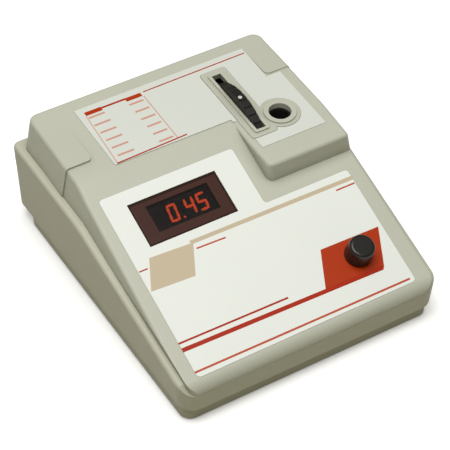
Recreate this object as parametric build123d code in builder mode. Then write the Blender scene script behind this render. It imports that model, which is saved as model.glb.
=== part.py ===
from build123d import *
from math import atan, cos, degrees, radians, sin, sqrt, tan
import os

# Digital photo colorimeter for the bench, in millimetres
# +Z is up and the front faces -Y. The origin is on the bench, below the middle of the case
# Places along the case are given as a depth behind the front edge, and back() turns one into Y

os.makedirs("parts", exist_ok=True)

# Case sizes
case_width = 225.0
case_depth = 252.5
front_draft = 3.0
side_draft = 4.5
rear_kick = 8.0
case_corner = 13.0
rear_corner = 6.0
case_wall = 3.0
foot_stand = 1.5
floor_top = 5.0
plinth_height = 14.5
plinth_half = 104.6
plinth_front = 5.7
plinth_rear = 249.0
plinth_corner = 9.0
rim_width = 6.5
rim_round = 3.2
rim_front = 30.0
rim_corner_depth = 9.0
rim_corner = 38.0
rim_bend_depth = 150.0
rim_bend = 79.0
rim_rear = 82.0

# Roof of the top cover
panel_start = 38.0
panel_slope = 21.3
crease_depth = 165.0
plateau_slope = 3.7
crease_round = 45.0
front_round = 10.0
side_lean = 0.2
side_round = 3.0
seam = 0.25
cover_rear_corner = 8.0
tongue_wall = 2.2
tongue_drop = 5.0

# Raised block at the right of the plateau
block_left = 30.0
block_depth = 113.0
block_corner = 5.0
block_edge = 3.0

# Raised pads at the rear corners
ear_inner = 80.0
ear_fronts = {-1: 180.0, 1: 198.0}
ear_rear = 224.0
ear_rises = {-1: 1.6, 1: 0.8}
ear_sides = {-1: 1.0, 1: 0.05}
ear_corner = 4.0

# Overlays
label_thickness = 0.35
label_left = -93.5
label_right = 90.5
label_front = 6.7
label_top = 147.2
label_right_top = 100.3
label_inner = 18.4
label_corner = 3.0
plate_left = -67.7
plate_right = 79.2
plate_rear = 232.7
plate_front = 168.0
plate_step = 30.6
ear_notch = 196.0
plate_far_right = 91.3
plate_block_front = 131.6
plate_block_left = 35.8
plate_margin = 0.4

# Display window and digits
window_left = -76.1
window_right = -2.8
window_front = 102.5
window_rear = 136.6
window_thickness = 1.5
window_fit = 0.15
window_ledge = 2.5
window_sink = 0.3
digit_count = 4
digit_width = 12.3
digit_height = 22.0
digit_thickness = 7.0
digit_gap = 0.4
digit_offset = 1.1
display_board_thickness = 1.6

# Filter wheel and its shaft
wheel_x = 45.2
wheel_depth = 181.7
wheel_z = 65.5
wheel_radius = 46.0
wheel_thickness = 7.2
wheel_grips = 40
grip_depth = 0.7
filter_count = 8
filter_circle = 30.0
filter_radius = 6.5
filter_hole = 5.5
filter_thickness = 2.5
filter_seat = 3.6
bush_radius = 5.0
bush_length = 10.0
axle_radius = 3.0
running_gap = 0.05
slot_width = 7.9
slot_length = 66.4
slot_rim = 2.4
slot_rim_rise = 1.0
pad_rise = 0.6

# Sample well
well_x = 66.8
well_depth = 157.1
well_bore = 8.2
well_half = 11.0
well_floor = 22.0
well_corner = 2.5
hole_radius = 8.7
collar_radius = 12.4
collar_rise = 1.5
lobe_radius = 15.5
roof_gap = 0.3

# Light path
beam_radius = 3.0
bench_left = -9.0
bench_right = 98.0
bench_front = 138.0
bench_rear = 224.0
bench_bottom = 11.0
bench_plate = 3.0
cheek = 3.0
cheek_gap = 2.4
lamp_x = -2.0
lamp_cap = 4.7
lens_x = 27.0
lens_radius = 9.0
lens_thickness = 5.0
lens_curve = 13.5
photocell_radius = 6.0
photocell_thickness = 3.0
photocell_x = 83.0
detent_width = 6.0
detent_thickness = 0.6

# Set knob and its potentiometer
knob_x = 61.0
knob_depth = 40.0
knob_radius = 10.6
knob_height = 14.2
knob_base = 1.2
knob_flutes = 12
pot_bush = 4.75
pot_body = 12.0
pot_height = 10.0
shaft_radius = 3.0
nut_across = 14.0
nut_height = 2.2

# Rear recess and fittings
bay_half = 74.0
bay_low = 24.0
bay_high = 70.0
bay_sink = 9.5
bay_wall = 3.0
bay_ledge = 5.0
panel_thickness = 2.0
panel_fit = 0.3
inlet_x = -44.0
fuse_x = 14.0
switch_x = 60.0
fitting_z = 47.0
inlet_flange = (50.0, 24.0)
inlet_body = (28.0, 20.4)
inlet_cavity = (24.4, 16.8)
inlet_depth = 17.0
inlet_flange_thickness = 3.0
inlet_pitch = 40.0
fuse_body = 6.2
fuse_flange = 8.5
fuse_cap_radius = 7.2
fuse_cap_length = 5.5
fuse_length = 20.0
switch_size = (13.0, 19.2)
switch_flange = (15.0, 21.2)
rocker_radius = 8.0
rocker_tilt = 10.0

# Boards, transformer and screws
board_left = -96.0
board_right = -12.0
board_front = 30.0
board_rear = 126.0
board_bottom = 13.0
board_thickness = 1.6
core_x = -60.0
core_depth = 186.0
core_width = 48.0
core_length = 40.0
core_height = 40.0
post_radius = 4.0
pilot_radius = 1.25
screw_shank = 1.15
screw_head = 2.9
case_post_x = 93.0
case_post_front = 24.0
case_post_rear = 232.0
case_post_radius = 4.5
foot_radius = 8.0
foot_thickness = 3.0
foot_inset = 24.0

# Worked-out values
front_y = -(case_depth + rear_kick) / 2
rear_y = front_y + case_depth
slope_rise = tan(radians(panel_slope))
plateau_rise = tan(radians(plateau_slope))
draft_rise = tan(radians(front_draft))
side_rise = tan(radians(side_draft))
kick_rise = rear_kick / (rim_rear - plinth_height)
crease_z = panel_start + slope_rise * crease_depth
form_height = 130.0
far = 300.0


def back(depth):
    """Y of a depth behind the front edge."""
    return front_y + depth


def panel_z(depth):
    """Height of the sloping front panel."""
    return panel_start + slope_rise * depth


def plateau_z(depth):
    """Height of the rear plateau."""
    return crease_z + plateau_rise * (depth - crease_depth)


panel = Plane(
    origin=(0, front_y, panel_start),
    x_dir=(1, 0, 0),
    z_dir=(0, -sin(radians(panel_slope)), cos(radians(panel_slope))),
)
plateau = Plane(
    origin=(0, back(crease_depth), crease_z),
    x_dir=(1, 0, 0),
    z_dir=(0, -sin(radians(plateau_slope)), cos(radians(plateau_slope))),
)


def up_panel(depth):
    """Distance up the sloping panel."""
    return depth / cos(radians(panel_slope))


def up_plateau(depth):
    """Distance up the plateau, from the crease."""
    return (depth - crease_depth) / cos(radians(plateau_slope))


def facing_front(depth):
    """Upright plane at a depth, facing the front."""
    return Plane.XZ.offset(-back(depth))


def roof_z(y):
    """Height of the roof line at a Y."""
    depth = y - front_y
    return panel_z(depth) if depth < crease_depth else plateau_z(depth)


def save(piece, name):
    """Label one finished piece and write its file."""
    piece.part.label = name
    export_step(piece.part, f"parts/{name}.step")


# Shared case forms


def upright_edges(shape, reach):
    """Edges that rise through most of a shape."""
    return shape.edges().filter_by(lambda e: abs((e @ 1 - e @ 0).Z) > reach)


def case_form(inset, front_in, rear_in, rear_curve):
    """Drafted tub shape of the case, with every side inset; its rear wall kicks out downwards."""
    half = case_width / 2 - inset
    with BuildPart() as form:
        with BuildSketch(Plane.XY):
            Rectangle(far, 2 * far)
        extrude(amount=form_height)
        for side in (-1, 1):
            wall = Plane(origin=(side * half, 0, rim_rear), z_dir=(side, 0, -side_rise))
            split(bisect_by=wall, keep=Keep.BOTTOM)
        front = Plane(origin=(0, front_y + front_in, panel_start), z_dir=(0, -1, -draft_rise))
        split(bisect_by=front, keep=Keep.BOTTOM)
        rear = Plane(origin=(0, rear_y - rear_in, rim_rear), z_dir=(0, 1, kick_rise))
        split(bisect_by=rear, keep=Keep.BOTTOM)
        tall = upright_edges(form, form_height / 2)
        fillet(tall.filter_by(lambda e: e.center().Y < 0), max(case_corner - inset, 2))
        tall = upright_edges(form, form_height / 2)
        fillet(tall.filter_by(lambda e: e.center().Y > 0), rear_curve)
    return form.part


def above_rim(lift):
    """Everything above the rim line of the lower case."""
    with BuildPart() as block:
        with BuildSketch(Plane.YZ) as side:
            with BuildLine():
                Polyline(
                    (front_y - 20, rim_front + lift),
                    (back(1.5), rim_front + lift),
                    (back(rim_corner_depth), rim_corner + lift),
                    (back(rim_bend_depth), rim_bend + lift),
                    (rear_y + 20, rim_rear + lift),
                    (rear_y + 20, form_height + 40),
                    (front_y - 20, form_height + 40),
                    close=True,
                )
            make_face()
            bend = side.vertices().sort_by_distance((back(rim_bend_depth), rim_bend + lift))[0]
            fillet(bend, 60)
        extrude(amount=far / 2, both=True)
    return block.part


def roof_form(lower, front_curve, crease_curve):
    """Everything under the roof line of the cover, as one bar across the case."""
    with BuildPart() as bar:
        with BuildSketch(Plane.YZ) as side:
            front = (front_y, panel_start - lower)
            crease = (back(crease_depth), crease_z - lower)
            end = case_depth - seam - rim_width - lower
            rear = (back(end), plateau_z(end) - lower)
            with BuildLine():
                Polyline(
                    (front_y + draft_rise * panel_start, 0),
                    front,
                    crease,
                    rear,
                    (back(end), 0),
                    close=True,
                )
            make_face()
            fillet(side.vertices().sort_by_distance(front)[0], front_curve)
            fillet(side.vertices().sort_by_distance(crease)[0], crease_curve)
        extrude(amount=far / 2, both=True)
    return bar.part


def block_form(inset, corner, edge):
    """Raised block, an upright drafted slab cut off at the plateau."""
    with BuildPart() as block:
        with BuildSketch(Plane.XY):
            Polygon(
                (block_left + inset, back(block_depth + inset)),
                (far / 2, back(block_depth + inset)),
                (far / 2, back(crease_depth + 12)),
                (block_left + inset, back(crease_depth + 12)),
                align=None,
            )
        extrude(amount=form_height)
        upright = block.edges().filter_by(Axis.Z).sort_by_distance(
            (block_left, back(block_depth), form_height / 2))[0]
        fillet(upright, corner)
        split(bisect_by=plateau.offset(-inset), keep=Keep.BOTTOM)
        if edge > 0:
            top = block.faces().sort_by(Axis.Z)[-1]
            rims = top.edges().filter_by(lambda e: e.center().X < far / 2 - 5)
            rims = rims.filter_by(lambda e: e.center().Y < back(crease_depth + 11))
            fillet(rims, edge)
    return block.part


def lean_plane(side, slope, start_depth, start_height, inset):
    """Face of one leaning side wall, which rises from the rim line."""
    half = case_width / 2 - rim_width - seam
    return Plane(
        origin=(side * (half - inset), back(start_depth), start_height),
        z_dir=(side, -side_lean * slope, side_lean),
    )


def lean_sides(shape, inset):
    """The shape cut off by the four leaning side faces."""
    slope_low = (rim_bend - rim_corner) / (rim_bend_depth - rim_corner_depth)
    slope_high = (rim_rear - rim_bend) / (case_depth + 20 - rim_bend_depth)
    with BuildPart() as cut:
        add(shape)
        for side in (-1, 1):
            low = lean_plane(side, slope_low, rim_corner_depth, rim_corner, inset)
            split(bisect_by=low, keep=Keep.BOTTOM)
            high = lean_plane(side, slope_high, rim_bend_depth, rim_bend, inset)
            split(bisect_by=high, keep=Keep.BOTTOM)
    return cut.part


def soft_sides(shape, radius):
    """The shape with the top edges of its leaning sides rounded, and those that run on from them."""
    with BuildPart() as soft:
        add(shape)
        tops = soft.edges().filter_by(lambda e: 4 < case_width / 2 - abs(e.center().X) < 14)
        tops = tops.filter_by(lambda e: e.center().Z > roof_z(e.center().Y) - 2.5)
        fillet(tops, radius)
    return soft.part


def ear_form(side):
    """Pad at one rear corner, proud at its front and side and flush towards the rear."""
    front = ear_fronts[side]
    end = case_depth - 2 * rim_width
    fade = 1 / (ear_rear - front)
    slope = (rim_rear - rim_bend) / (case_depth + 20 - rim_bend_depth)
    side_face = Plane(
        origin=(
            side * (case_width / 2 - rim_width - seam + ear_sides[side]),
            back(front),
            rim_bend + slope * (front - rim_bend_depth),
        ),
        z_dir=(side, ear_sides[side] * fade - side_lean * slope, side_lean),
    )
    with BuildPart() as ear:
        with BuildSketch(Plane.YZ.offset(side * ear_inner)):
            Polygon(
                (back(front), rim_bend - 20),
                (back(front), plateau_z(front) + ear_rises[side]),
                (back(end), plateau_z(end) + ear_rises[side] * fade * (ear_rear - end)),
                (back(end), rim_bend - 20),
                align=None,
            )
        extrude(amount=side * 60)
        split(bisect_by=side_face, keep=Keep.BOTTOM)
        corner = upright_edges(ear, 20).sort_by_distance((side * ear_inner, back(front), rim_bend))[0]
        fillet(corner, ear_corner)
    return soft_sides(ear.part, side_round)


# Lower case: a drafted tub with a rounded rim, a plinth, a rear bay and its bosses

case_posts = [(x, back(d)) for x in (-case_post_x, case_post_x) for d in (case_post_front, case_post_rear)]
board_mid = ((board_left + board_right) / 2, back((board_front + board_rear) / 2))
board_pitch = (board_right - board_left - 10, board_rear - board_front - 10)
bench_posts = [(x, back(d)) for x in (bench_left + 5, bench_right - 5) for d in (bench_front + 5, bench_rear - 5)]
bracket_span = core_width + 16
bracket_posts = [(core_x + x, back(core_depth)) for x in (-bracket_span / 2, bracket_span / 2)]
bay_depth = case_depth - bay_sink
bay_mid = (bay_low + bay_high) / 2
post_top = 22.0
screw_seat = 14.0


def case_cavity():
    """Hollow of the tub, with a higher floor behind the plinth."""
    with BuildPart() as cavity:
        add(case_form(rim_width, rim_width, rim_width, cover_rear_corner + seam))
        split(bisect_by=Plane.XY.offset(floor_top), keep=Keep.TOP)
        with BuildSketch(Plane.XY):
            with Locations((0, back(plinth_rear - case_wall) + far / 2)):
                Rectangle(far, far)
        extrude(amount=plinth_height + case_wall, mode=Mode.SUBTRACT)
    return cavity.part


def bay_form():
    """Block that closes the rear bay, kept inside the leaning rear wall."""
    with BuildPart() as bay:
        with BuildSketch(facing_front(bay_depth - bay_wall)):
            with Locations((0, bay_mid)):
                Rectangle(2 * (bay_half + bay_wall), bay_high - bay_low + 2 * bay_wall)
        extrude(amount=-4 * bay_sink)
        add(case_form(rim_width / 2, rim_width / 2, rim_width / 2, rear_corner), mode=Mode.INTERSECT)
    return bay.part


with BuildPart() as base_case:
    add(case_form(0, 0, 0, rear_corner))
    add(above_rim(0), mode=Mode.SUBTRACT)
    rims = base_case.edges().filter_by(lambda e: e.center().Z > rim_corner + 8)
    rims = rims.filter_by(lambda e: abs(e.center().X) > 60 or e.center().Y > rear_y - 12)
    fillet(rims.filter_by(lambda e: abs((e @ 1 - e @ 0).Z) < 60), rim_round)
    split(bisect_by=Plane.XY.offset(foot_stand), keep=Keep.TOP)
    # Plinth step round the foot, deepest at the rear
    with BuildSketch(Plane.XY):
        Rectangle(far, 2 * far)
        with Locations((0, back((plinth_front + plinth_rear) / 2))):
            RectangleRounded(2 * plinth_half, plinth_rear - plinth_front, plinth_corner, mode=Mode.SUBTRACT)
    extrude(amount=plinth_height, mode=Mode.SUBTRACT)
    add(case_cavity(), mode=Mode.SUBTRACT)
    # Bay for the mains fittings
    add(bay_form())
    with BuildSketch(facing_front(bay_depth)):
        with Locations((0, bay_mid)):
            Rectangle(2 * bay_half, bay_high - bay_low)
    extrude(amount=-4 * bay_sink, mode=Mode.SUBTRACT)
    with BuildSketch(facing_front(bay_depth - 2 * bay_wall)):
        with Locations((0, bay_mid)):
            Rectangle(2 * (bay_half - bay_ledge), bay_high - bay_low - 2 * bay_ledge)
    extrude(amount=-3 * bay_wall, mode=Mode.SUBTRACT)
    # Bosses for the cover screws, the board, the bench and the transformer
    with BuildSketch(Plane.XY.offset(floor_top - 1)):
        with Locations(*case_posts):
            Circle(case_post_radius)
    extrude(amount=post_top - floor_top + 1)
    with BuildSketch(Plane.XY.offset(floor_top - 1)):
        with Locations(board_mid):
            with GridLocations(*board_pitch, 2, 2):
                Circle(post_radius)
    extrude(amount=board_bottom - floor_top + 1)
    with BuildSketch(Plane.XY.offset(floor_top - 1)):
        with Locations(*bench_posts):
            Circle(post_radius)
        with Locations(*bracket_posts):
            Circle(post_radius)
    extrude(amount=bench_bottom - floor_top + 1)
    with BuildSketch(Plane.XY.offset(floor_top - 1)):
        with Locations((core_x, back(core_depth))):
            Rectangle(core_width, 12)
    extrude(amount=bench_bottom - floor_top + 1)
    # Screw holes
    with BuildSketch(Plane.XY.offset(floor_top)):
        with Locations(board_mid):
            with GridLocations(*board_pitch, 2, 2):
                Circle(pilot_radius)
        with Locations(*bench_posts):
            Circle(pilot_radius)
        with Locations(*bracket_posts):
            Circle(pilot_radius)
    extrude(amount=board_bottom, mode=Mode.SUBTRACT)
    with BuildSketch(Plane.XY):
        with Locations(*case_posts):
            Circle(screw_shank + 0.35)
    extrude(amount=post_top, mode=Mode.SUBTRACT)
    with BuildSketch(Plane.XY):
        with Locations(*case_posts):
            Circle(screw_head + 0.4)
    extrude(amount=screw_seat, mode=Mode.SUBTRACT)
    ledge_x = 2 * bay_half - bay_ledge
    ledge_z = bay_high - bay_low - bay_ledge
    with BuildSketch(facing_front(bay_depth - 2 * bay_wall)):
        with Locations((0, bay_mid)):
            with GridLocations(ledge_x, ledge_z, 2, 2):
                Circle(pilot_radius)
    extrude(amount=-3 * bay_wall, mode=Mode.SUBTRACT)
    # Recesses for the feet
    foot_x = case_width / 2 - foot_inset
    foot_y = case_depth / 2 - foot_inset
    with BuildSketch(Plane.XY):
        with GridLocations(2 * foot_x - 24, 2 * foot_y - 24, 2, 2):
            Circle(foot_radius + 0.3)
    extrude(amount=foot_thickness, mode=Mode.SUBTRACT)
    # Cooling slots below the transformer
    with BuildSketch(Plane.XY):
        with Locations((core_x, back(core_depth - 34))):
            with GridLocations(9, 0, 6, 1):
                SlotOverall(26, 3, rotation=90)
    extrude(amount=floor_top + 1, mode=Mode.SUBTRACT)
save(base_case, "base_case")


# Top cover: a wedge shell with a plateau, a raised block, corner pads, a slot and a collar

bench_y = back(well_depth)
slot_mid = (wheel_x, up_plateau(wheel_depth))
side_gap = rim_width + seam
window_mid = ((window_left + window_right) / 2, (up_panel(window_front) + up_panel(window_rear)) / 2)
window_size = (window_right - window_left, up_panel(window_rear) - up_panel(window_front))
knob_place = (knob_x, up_panel(knob_depth))
roof_drop = case_wall * cos(radians(panel_slope))
digit_top = window_sink + window_thickness + 0.6
board_drop = digit_top + digit_thickness
display_pitch = (window_size[0] + 6, window_size[1] + 4)


def wedge_form():
    """The wedge with its rear upright corners rounded."""
    with BuildPart() as wedge:
        add(lean_sides(roof_form(0, front_round, crease_round), 0))
        tall = upright_edges(wedge, panel_start)
        fillet(tall.filter_by(lambda e: e.center().Y > 0), cover_rear_corner)
    return wedge.part


def cover_form():
    """Outer shape of the top cover, still solid."""
    with BuildPart() as form:
        add(soft_sides(wedge_form(), side_round))
        add(soft_sides(lean_sides(block_form(0, block_corner, block_edge), 0), side_round))
        for side in (-1, 1):
            add(ear_form(side))
        add(case_form(side_gap - ear_sides[-1], 0, -far / 10, rear_corner), mode=Mode.INTERSECT)
        add(above_rim(seam), mode=Mode.INTERSECT)
    return form.part


def cover_cavity():
    """Hollow below the roof."""
    wall = side_gap + tongue_wall
    with BuildPart() as cavity:
        add(lean_sides(roof_form(case_wall, 2, crease_round), case_wall))
        add(lean_sides(block_form(case_wall, block_corner - case_wall, 0), case_wall))
        add(case_form(wall, wall, wall, cover_rear_corner - tongue_wall), mode=Mode.INTERSECT)
    return cavity.part


def cover_tongue():
    """Band that drops inside the rim of the lower case."""
    with BuildPart() as tongue:
        add(case_form(side_gap, side_gap, side_gap, cover_rear_corner))
        add(above_rim(-tongue_drop), mode=Mode.INTERSECT)
        add(above_rim(1), mode=Mode.SUBTRACT)
    return tongue.part


with BuildPart() as top_cover:
    add(cover_form())
    add(cover_tongue())
    add(cover_cavity(), mode=Mode.SUBTRACT)
    # Screw posts that reach down to the bosses below
    with BuildPart(mode=Mode.PRIVATE) as posts:
        with BuildSketch(Plane.XY.offset(post_top)):
            with Locations(*case_posts):
                Circle(case_post_radius)
        extrude(amount=form_height)
        add(roof_form(1, 2, crease_round), mode=Mode.INTERSECT)
    add(posts.part)
    with BuildSketch(Plane.XY.offset(post_top)):
        with Locations(*case_posts):
            Circle(pilot_radius)
    extrude(amount=12, mode=Mode.SUBTRACT)
    # Moulded surround of the wheel slot and the sample hole
    with BuildSketch(plateau.offset(-1)):
        with Locations(slot_mid):
            RectangleRounded(slot_width + 14, slot_length + 13, 3)
        with Locations((well_x, up_plateau(well_depth))):
            Circle(lobe_radius)
    extrude(amount=1 + pad_rise)
    with BuildSketch(plateau.offset(-1)):
        with Locations(slot_mid):
            RectangleRounded(slot_width + 2 * slot_rim, slot_length + 2 * slot_rim, 2)
        with Locations((well_x, up_plateau(well_depth))):
            Circle(collar_radius)
    extrude(amount=1 + pad_rise + slot_rim_rise)
    with BuildSketch(plateau.offset(-2 * case_wall)):
        with Locations(slot_mid):
            Rectangle(slot_width, slot_length)
    extrude(amount=3 * case_wall, mode=Mode.SUBTRACT)
    with BuildSketch(Plane.XY.offset(crease_z - 3 * case_wall)):
        with Locations((well_x, bench_y)):
            Circle(hole_radius)
    extrude(amount=4 * case_wall, mode=Mode.SUBTRACT)
    # Display opening with a ledge for its window
    with BuildSketch(panel.offset(-window_sink - window_thickness)):
        with Locations(window_mid):
            Rectangle(*window_size)
    extrude(amount=case_wall, mode=Mode.SUBTRACT)
    with BuildSketch(panel.offset(-2 * case_wall)):
        with Locations(window_mid):
            Rectangle(window_size[0] - 2 * window_ledge, window_size[1] - 2 * window_ledge)
    extrude(amount=3 * case_wall, mode=Mode.SUBTRACT)
    # Posts that carry the display board
    with BuildSketch(panel.offset(-board_drop)):
        with Locations(window_mid):
            with GridLocations(*display_pitch, 2, 2):
                Circle(post_radius - 1)
    extrude(amount=board_drop - roof_drop + 1)
    with BuildSketch(panel.offset(-board_drop)):
        with Locations(window_mid):
            with GridLocations(*display_pitch, 2, 2):
                Circle(pilot_radius)
    extrude(amount=board_drop - roof_drop, mode=Mode.SUBTRACT)
    # Hole for the potentiometer bush
    with BuildSketch(panel.offset(-2 * case_wall)):
        with Locations(knob_place):
            Circle(pot_bush + 0.2)
    extrude(amount=3 * case_wall, mode=Mode.SUBTRACT)
save(top_cover, "top_cover")


# Window, display and overlays

with BuildPart() as display_window:
    with BuildSketch(panel.offset(-window_sink - window_thickness)):
        with Locations(window_mid):
            Rectangle(window_size[0] - 2 * window_fit, window_size[1] - 2 * window_fit)
    extrude(amount=window_thickness)
    chamfer(display_window.faces().sort_by(Axis.Z)[-1].edges(), 0.3)
save(display_window, "display_window")

digit_pitch = digit_width + digit_gap
with BuildPart() as display_digits:
    with BuildSketch(panel.offset(-board_drop)):
        with Locations((window_mid[0] + digit_offset, window_mid[1])):
            with GridLocations(digit_pitch, 0, digit_count, 1):
                Rectangle(digit_width, digit_height)
    extrude(amount=digit_thickness)
save(display_digits, "display_digits")

with BuildPart() as display_board:
    with BuildSketch(panel.offset(-board_drop)):
        with Locations(window_mid):
            Rectangle(display_pitch[0] + 8, display_pitch[1] + 8)
            with GridLocations(*display_pitch, 2, 2):
                Circle(pilot_radius, mode=Mode.SUBTRACT)
    extrude(amount=-display_board_thickness)
save(display_board, "display_board")

with BuildPart() as front_label:
    with BuildSketch(panel):
        with BuildLine():
            Polyline(
                (label_left, up_panel(label_front)),
                (label_right, up_panel(label_front)),
                (label_right, up_panel(label_right_top)),
                (label_inner, up_panel(label_right_top)),
                (label_inner, up_panel(label_top)),
                (label_left, up_panel(label_top)),
                close=True,
            )
        make_face()
        with Locations(window_mid):
            Rectangle(*window_size, mode=Mode.SUBTRACT)
        with Locations(knob_place):
            Circle(nut_across / 2 + 1.5, mode=Mode.SUBTRACT)
    extrude(amount=label_thickness)
    upright = front_label.edges().filter_by(Axis(panel.origin, panel.z_dir))
    outer = upright.filter_by(lambda e: e.center().X < label_left + 1 or e.center().X > window_right + 1)
    fillet(outer, label_corner)
save(front_label, "front_label")

with BuildPart() as plateau_label:
    with BuildSketch(plateau):
        with BuildLine():
            Polyline(
                (plate_left, up_plateau(plate_front)),
                (plate_step, up_plateau(plate_front)),
                (plate_step, up_plateau(plate_block_front)),
                (plate_far_right, up_plateau(plate_block_front)),
                (plate_far_right, up_plateau(ear_notch)),
                (plate_right, up_plateau(ear_notch)),
                (plate_right, up_plateau(plate_rear)),
                (plate_left, up_plateau(plate_rear)),
                close=True,
            )
        make_face()
        with Locations(slot_mid):
            RectangleRounded(
                slot_width + 14 + 2 * plate_margin, slot_length + 13 + 2 * plate_margin, 3,
                mode=Mode.SUBTRACT,
            )
        with Locations((well_x, up_plateau(well_depth))):
            Circle(lobe_radius + plate_margin, mode=Mode.SUBTRACT)
        # The strip left of the block stays bare
        with Locations(((plate_step + plate_block_left) / 2, up_plateau(plate_block_front))):
            Rectangle(plate_block_left - plate_step, 2 * (crease_depth - plate_block_front),
                      mode=Mode.SUBTRACT)
    extrude(amount=label_thickness)
save(plateau_label, "plateau_label")


# Screws: each seat faces out of the head


def screws(seats, head, head_height, shank, length):
    """Pan-head screws at planes whose normals point out of the heads."""
    with BuildPart() as group:
        for seat in seats:
            with BuildSketch(seat):
                RegularPolygon(head, 16)
            extrude(amount=head_height)
            with BuildSketch(seat):
                RegularPolygon(shank, 8)
            extrude(amount=-length)
            with BuildSketch(seat.offset(head_height)):
                Rectangle(head * 1.2, head * 0.25)
                Rectangle(head * 0.25, head * 1.2)
            extrude(amount=-head_height / 2, mode=Mode.SUBTRACT)
    return group


def upward(places, z):
    """Horizontal planes that face up."""
    return [Plane(origin=(x, y, z)) for x, y in places]


def corners(middle, pitch):
    """Four places round a middle."""
    return [(middle[0] + a * pitch[0] / 2, middle[1] + b * pitch[1] / 2) for a in (-1, 1) for b in (-1, 1)]


case_screws = screws(
    [Plane(origin=(x, y, screw_seat), z_dir=(0, 0, -1)) for x, y in case_posts],
    screw_head, 2.2, screw_shank, 18,
)
save(case_screws, "case_screws")

board_top = board_bottom + board_thickness
board_screws = screws(upward(corners(board_mid, board_pitch), board_top), 2.5, 1.8, screw_shank, 6)
save(board_screws, "board_screws")

bench_top = bench_bottom + bench_plate
bench_screws = screws(upward(bench_posts, bench_top), 2.5, 1.8, screw_shank, 7)
save(bench_screws, "bench_screws")

display_seats = []
for x, up in corners(window_mid, display_pitch):
    seat = panel.offset(-board_drop - display_board_thickness)
    origin = seat.from_local_coords((x, up, 0))
    display_seats.append(Plane(origin=origin, z_dir=-panel.z_dir))
display_screws = screws(display_seats, 2.3, 1.5, 1.1, 5)
save(display_screws, "display_screws")

panel_face = bay_depth + panel_thickness
panel_seats = [Plane(origin=(x, back(panel_face), z), z_dir=(0, 1, 0))
               for x, z in corners((0, bay_mid), (ledge_x, ledge_z))]
panel_screws = screws(panel_seats, 2.1, 1.4, 1.1, 4.8)
save(panel_screws, "panel_screws")


# Rubber feet

with BuildPart() as rubber_feet:
    with BuildSketch(Plane.XY):
        with GridLocations(2 * foot_x - 24, 2 * foot_y - 24, 2, 2):
            Circle(foot_radius - 0.6)
    extrude(amount=foot_thickness, taper=-8)
save(rubber_feet, "rubber_feet")


# Rear panel with the mains fittings


def rear_block(place_x, size, face_depth, length):
    """Upright block that runs forward from a depth."""
    with BuildPart() as block:
        with BuildSketch(facing_front(face_depth)):
            with Locations((place_x, fitting_z)):
                Rectangle(*size)
        extrude(amount=length)
    return block.part


with BuildPart() as rear_panel:
    with BuildSketch(facing_front(panel_face)):
        with Locations((0, bay_mid)):
            Rectangle(2 * (bay_half - panel_fit), bay_high - bay_low - 2 * panel_fit)
            with GridLocations(ledge_x, ledge_z, 2, 2):
                Circle(pilot_radius, mode=Mode.SUBTRACT)
        with Locations((inlet_x, fitting_z)):
            Rectangle(inlet_body[0] + 0.4, inlet_body[1] + 0.4, mode=Mode.SUBTRACT)
            with GridLocations(inlet_pitch, 0, 2, 1):
                Circle(1.6, mode=Mode.SUBTRACT)
        with Locations((fuse_x, fitting_z)):
            Circle(fuse_body + 0.2, mode=Mode.SUBTRACT)
        with Locations((switch_x, fitting_z)):
            Rectangle(switch_size[0] + 0.4, switch_size[1] + 0.4, mode=Mode.SUBTRACT)
    extrude(amount=panel_thickness)
save(rear_panel, "rear_panel")

inlet_face = panel_face + inlet_flange_thickness
with BuildPart() as mains_inlet:
    with BuildSketch(facing_front(inlet_face)):
        with Locations((inlet_x, fitting_z)):
            RectangleRounded(*inlet_flange, 4)
            with GridLocations(inlet_pitch, 0, 2, 1):
                Circle(1.6, mode=Mode.SUBTRACT)
    extrude(amount=inlet_flange_thickness)
    add(rear_block(inlet_x, inlet_body, panel_face, inlet_depth))
    with BuildSketch(facing_front(inlet_face)):
        with Locations((inlet_x, fitting_z)):
            Rectangle(*inlet_cavity)
    extrude(amount=inlet_depth, mode=Mode.SUBTRACT)
    cavity_corners = mains_inlet.edges().filter_by(Axis.Y).filter_by(
        lambda e: abs(abs(e.center().X - inlet_x) - inlet_cavity[0] / 2) < 0.1
        and e.center().Z > fitting_z)
    chamfer(cavity_corners, 4)
save(mains_inlet, "mains_inlet")

pin_places = [(-7.0, 2.5), (0.0, -2.5), (7.0, 2.5)]
pin_floor = inlet_face - inlet_depth
with BuildPart() as inlet_pins:
    with BuildSketch(facing_front(pin_floor)):
        with Locations((inlet_x, fitting_z)):
            with Locations(*pin_places):
                Rectangle(2.0, 4.0)
    extrude(amount=-13)
save(inlet_pins, "inlet_pins")

inlet_seats = [Plane(origin=(inlet_x + s * inlet_pitch / 2, back(inlet_face), fitting_z), z_dir=(0, 1, 0))
               for s in (-1, 1)]
inlet_screws = screws(inlet_seats, 2.6, 1.5, 1.4, 8)
save(inlet_screws, "inlet_screws")

fuse_spot = (fuse_x, back(panel_face), fitting_z)
fuse_bore = 5.1
fuse_depth = 25.0
with BuildPart() as fuse_holder:
    with BuildSketch(facing_front(panel_face)):
        with Locations((fuse_x, fitting_z)):
            Circle(fuse_flange)
    extrude(amount=-2)
    with BuildSketch(facing_front(panel_face)):
        with Locations((fuse_x, fitting_z)):
            Circle(fuse_body)
    extrude(amount=fuse_depth + 2)
    with BuildSketch(facing_front(panel_face + 2)):
        with Locations((fuse_x, fitting_z)):
            Circle(fuse_bore)
    extrude(amount=fuse_depth + 2, mode=Mode.SUBTRACT)
save(fuse_holder, "fuse_holder")

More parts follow.
